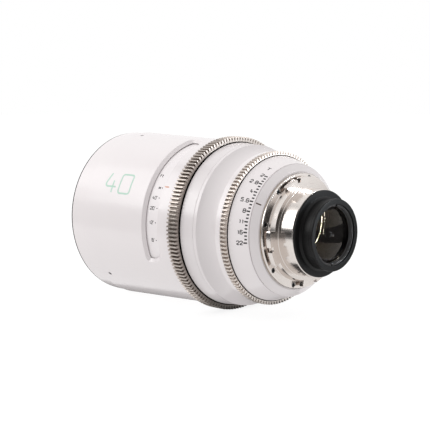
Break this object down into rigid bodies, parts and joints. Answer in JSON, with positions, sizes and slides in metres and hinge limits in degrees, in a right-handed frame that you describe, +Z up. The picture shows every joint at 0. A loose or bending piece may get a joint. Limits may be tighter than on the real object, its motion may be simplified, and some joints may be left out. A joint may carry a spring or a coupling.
{
  "type": "cinema prime lens",
  "caption": "Anamorphic cinema prime lens: white tapered barrel, geared focus and aperture rings with scales, bayonet camera mount and black rear cell.",
  "frame": {"origin": "on the optical axis in the seat plane of the bayonet, the rear face of its tabs", "axes": "+X along the optical axis towards the camera, -X towards the subject, +Z up"},
  "size_m": [0.1838, 0.113, 0.113],
  "materials": {
    "white_paint": "satin white paint over aluminium",
    "scale_drum": "satin white paint with printed scale",
    "bronze_gear": "champagne anodised, cut teeth",
    "black_anodised": "matt black anodised",
    "glass": "coated optical glass",
    "plain_aluminium": "machined and greased",
    "mount_chrome": "polished hard chrome",
    "brass": "turned",
    "screw_steel": "black oxide",
    "blade_steel": "blackened spring steel"
  },
  "bodies": {
    "housing": {"front_barrel": "white_paint", "front_ring": "white_paint", "centre_band": "white_paint", "cove_housing": "white_paint", "rear_housing": "white_paint", "filter_ring": "black_anodised", "front_cell": "black_anodised", "front_retainer": "black_anodised", "second_retainer": "black_anodised", "cylinder_cell": "black_anodised", "cylinder_retainers": "black_anodised", "iris_housing": "black_anodised", "relay_cell": "black_anodised", "relay_spacer": "black_anodised", "relay_retainer": "black_anodised", "iris_cover": "black_anodised", "iris_base_plate": "black_anodised", "rear_cell": "black_anodised", "rear_group_spacer": "black_anodised", "rear_retainer": "black_anodised", "front_element": "glass", "second_element": "glass", "cylinder_element_front": "glass", "cylinder_element_rear": "glass", "relay_element_front": "glass", "relay_element_rear": "glass", "rear_group_front": "glass", "rear_group_middle": "glass", "rear_element": "glass", "main_tube": "plain_aluminium", "lens_mount": "mount_chrome", "mount_shim": "brass", "set_screws": "screw_steel", "joint_screws": "screw_steel", "mount_screws": "screw_steel"},
    "focus_ring": {"focus_sleeve": "plain_aluminium", "focus_gear": "bronze_gear", "focus_scale_ring": "scale_drum", "focus_ring_screws": "screw_steel"},
    "focus_group": {"focus_cell": "black_anodised", "focus_element_front": "glass", "focus_element_rear": "glass", "focus_retainers": "black_anodised", "cam_followers": "brass"},
    "iris_ring": {"iris_ring": "white_paint", "iris_band": "white_paint", "iris_gear": "bronze_gear", "iris_drive_pins": "brass", "iris_actuator": "brass"},
    "blade_1": {"iris_blade_1": "blade_steel"},
    "blade_2": {"iris_blade_2": "blade_steel"},
    "blade_3": {"iris_blade_3": "blade_steel"},
    "blade_4": {"iris_blade_4": "blade_steel"},
    "blade_5": {"iris_blade_5": "blade_steel"},
    "blade_6": {"iris_blade_6": "blade_steel"},
    "blade_7": {"iris_blade_7": "blade_steel"},
    "blade_8": {"iris_blade_8": "blade_steel"},
    "blade_9": {"iris_blade_9": "blade_steel"}
  },
  "joints": [
    {"name": "focus_turn", "type": "hinge", "parent": "housing", "child": "focus_ring", "pos_m": [-0.0627, 0, 0], "axis": [-1, 0, 0], "range_deg": [0, 180]},
    {"name": "focus_travel", "type": "slide", "parent": "housing", "child": "focus_group", "axis": [-1, 0, 0], "range_m": [0, 0.012]},
    {"name": "iris_turn", "type": "hinge", "parent": "housing", "child": "iris_ring", "pos_m": [-0.0261, 0, 0], "axis": [1, 0, 0], "range_deg": [-34.8, 26.1]},
    {"name": "blade_1_swing", "type": "hinge", "parent": "housing", "child": "blade_1", "pos_m": [-0.0285, 0.02145, 0.018], "axis": [1, 0, 0], "range_deg": [-12.48, 16.62]},
    {"name": "blade_2_swing", "type": "hinge", "parent": "housing", "child": "blade_2", "pos_m": [-0.0285, 0.00486, 0.02757], "axis": [1, 0, 0], "range_deg": [-12.48, 16.62]},
    {"name": "blade_3_swing", "type": "hinge", "parent": "housing", "child": "blade_3", "pos_m": [-0.0285, -0.014, 0.02425], "axis": [1, 0, 0], "range_deg": [-12.48, 16.62]},
    {"name": "blade_4_swing", "type": "hinge", "parent": "housing", "child": "blade_4", "pos_m": [-0.0285, -0.02631, 0.00958], "axis": [1, 0, 0], "range_deg": [-12.48, 16.62]},
    {"name": "blade_5_swing", "type": "hinge", "parent": "housing", "child": "blade_5", "pos_m": [-0.0285, -0.02631, -0.00958], "axis": [1, 0, 0], "range_deg": [-12.48, 16.62]},
    {"name": "blade_6_swing", "type": "hinge", "parent": "housing", "child": "blade_6", "pos_m": [-0.0285, -0.014, -0.02425], "axis": [1, 0, 0], "range_deg": [-12.48, 16.62]},
    {"name": "blade_7_swing", "type": "hinge", "parent": "housing", "child": "blade_7", "pos_m": [-0.0285, 0.00486, -0.02757], "axis": [1, 0, 0], "range_deg": [-12.48, 16.62]},
    {"name": "blade_8_swing", "type": "hinge", "parent": "housing", "child": "blade_8", "pos_m": [-0.0285, 0.02145, -0.018], "axis": [1, 0, 0], "range_deg": [-12.48, 16.62]},
    {"name": "blade_9_swing", "type": "hinge", "parent": "housing", "child": "blade_9", "pos_m": [-0.0285, 0.028, 0], "axis": [1, 0, 0], "range_deg": [-12.48, 16.62]}
  ],
  "couplings": [
    {"joint": "focus_travel", "follows": "focus_turn", "m_per_rad": 0.0038197},
    {"joint": "blade_1_swing", "follows": "iris_turn", "ratio": -0.47619},
    {"joint": "blade_2_swing", "follows": "iris_turn", "ratio": -0.47619},
    {"joint": "blade_3_swing", "follows": "iris_turn", "ratio": -0.47619},
    {"joint": "blade_4_swing", "follows": "iris_turn", "ratio": -0.47619},
    {"joint": "blade_5_swing", "follows": "iris_turn", "ratio": -0.47619},
    {"joint": "blade_6_swing", "follows": "iris_turn", "ratio": -0.47619},
    {"joint": "blade_7_swing", "follows": "iris_turn", "ratio": -0.47619},
    {"joint": "blade_8_swing", "follows": "iris_turn", "ratio": -0.47619},
    {"joint": "blade_9_swing", "follows": "iris_turn", "ratio": -0.47619}
  ]
}
